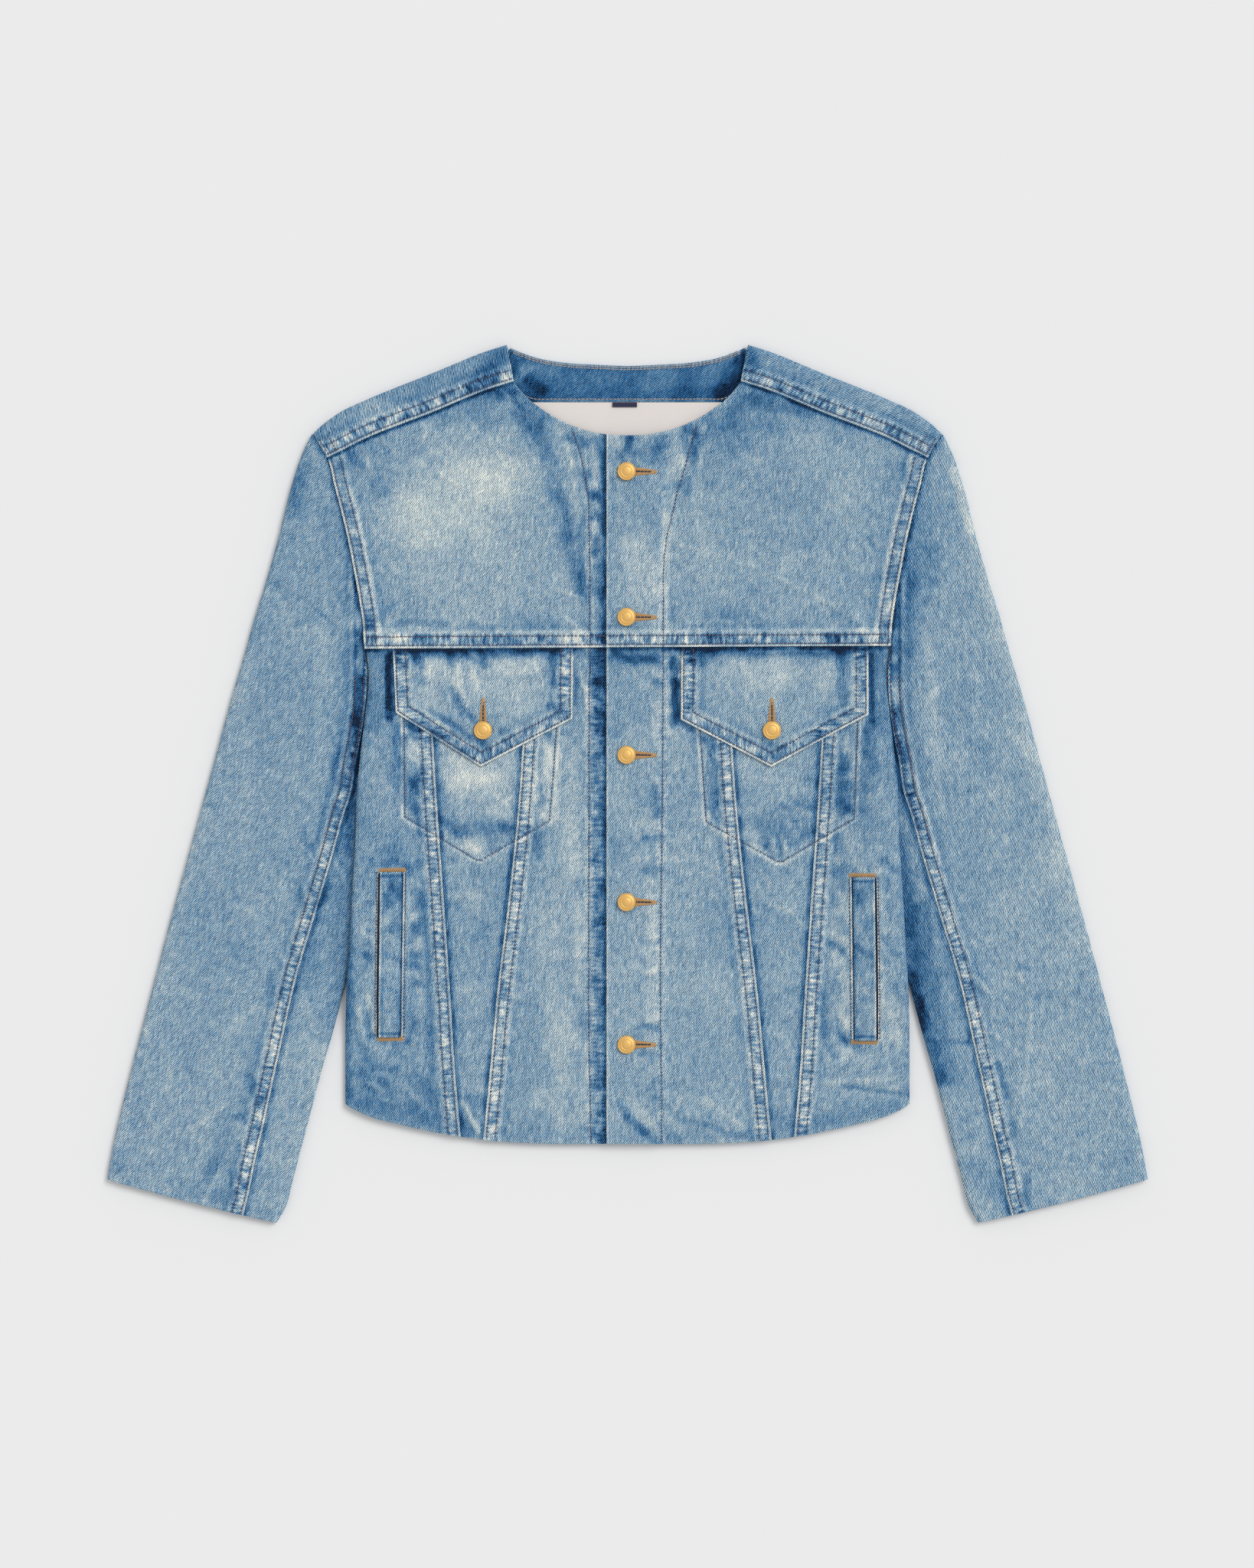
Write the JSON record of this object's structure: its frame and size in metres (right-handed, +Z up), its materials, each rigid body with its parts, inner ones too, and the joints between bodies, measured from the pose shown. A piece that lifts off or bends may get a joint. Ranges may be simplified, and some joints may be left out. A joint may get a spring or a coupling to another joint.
{
  "type": "denim jacket",
  "caption": "Collarless cropped denim jacket with pointed chest pocket flaps and slanted hand pockets, buttoned and laid flat on its back.",
  "frame": {"origin": "on the surface that the jacket lies on, under the middle of its outline", "axes": "+X towards the wearer's left sleeve, +Y from hem to neck, +Z up from the surface"},
  "size_m": [0.803, 0.677, 0.0136],
  "materials": {
    "denim": "light-wash washed denim twill, worn along the seams",
    "facing_denim": "darker unwashed denim twill",
    "lining": "plain off-white lining",
    "navy_tab": "plain navy woven tape",
    "brass": "satin gold"
  },
  "bodies": {
    "root": {"back_yoke": "denim", "back_center": "denim", "back_side_l": "denim", "back_side_r": "denim", "front_yoke_l": "denim", "front_yoke_r": "denim", "front_center_l": "denim", "front_center_r": "denim", "front_mid_l": "denim", "front_mid_r": "denim", "front_side_l": "denim", "front_side_r": "denim", "pocket_flap_l": "denim", "pocket_flap_r": "denim", "pocket_welt_l": "denim", "pocket_welt_r": "denim", "sleeve_upper_l": "denim", "sleeve_upper_r": "denim", "sleeve_under_l": "denim", "sleeve_under_r": "denim", "neck_facing": "facing_denim", "yoke_lining": "lining", "neck_tab": "navy_tab", "button_1": "brass", "button_2": "brass", "button_3": "brass", "button_4": "brass", "button_5": "brass", "flap_button_l": "brass", "flap_button_r": "brass"}
  },
  "joints": []
}
